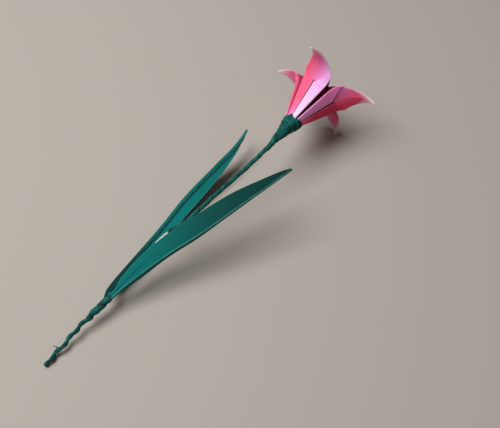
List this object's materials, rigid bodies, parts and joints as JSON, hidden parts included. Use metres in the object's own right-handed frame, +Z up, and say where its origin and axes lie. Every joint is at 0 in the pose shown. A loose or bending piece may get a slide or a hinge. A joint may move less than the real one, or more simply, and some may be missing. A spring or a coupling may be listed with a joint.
{
  "type": "paper flower",
  "caption": "Origami lily folded from pink paper, on a green taped wire stem with long folded paper leaves, lying on its side.",
  "frame": {"origin": "middle of the underside of the part's box, on the surface that it lies on", "axes": "+X along the stem towards the bloom, +Z up from the surface it lies on, +Y to the back leaf's side"},
  "size_m": [0.1908, 0.0568, 0.0568],
  "materials": {
    "petal_paper": "matte",
    "leaf_paper": "matte",
    "stem_tape": "matte",
    "bare_wire": "matte",
    "leaf_wire": "matte"
  },
  "bodies": {
    "root": {"bloom": "petal_paper", "stem_wire": "bare_wire", "upper_tape": "stem_tape", "lower_tape": "stem_tape", "leaf_front": "leaf_paper", "leaf_back": "leaf_paper", "leaf_front_wire": "leaf_wire", "leaf_back_wire": "leaf_wire"}
  },
  "joints": []
}
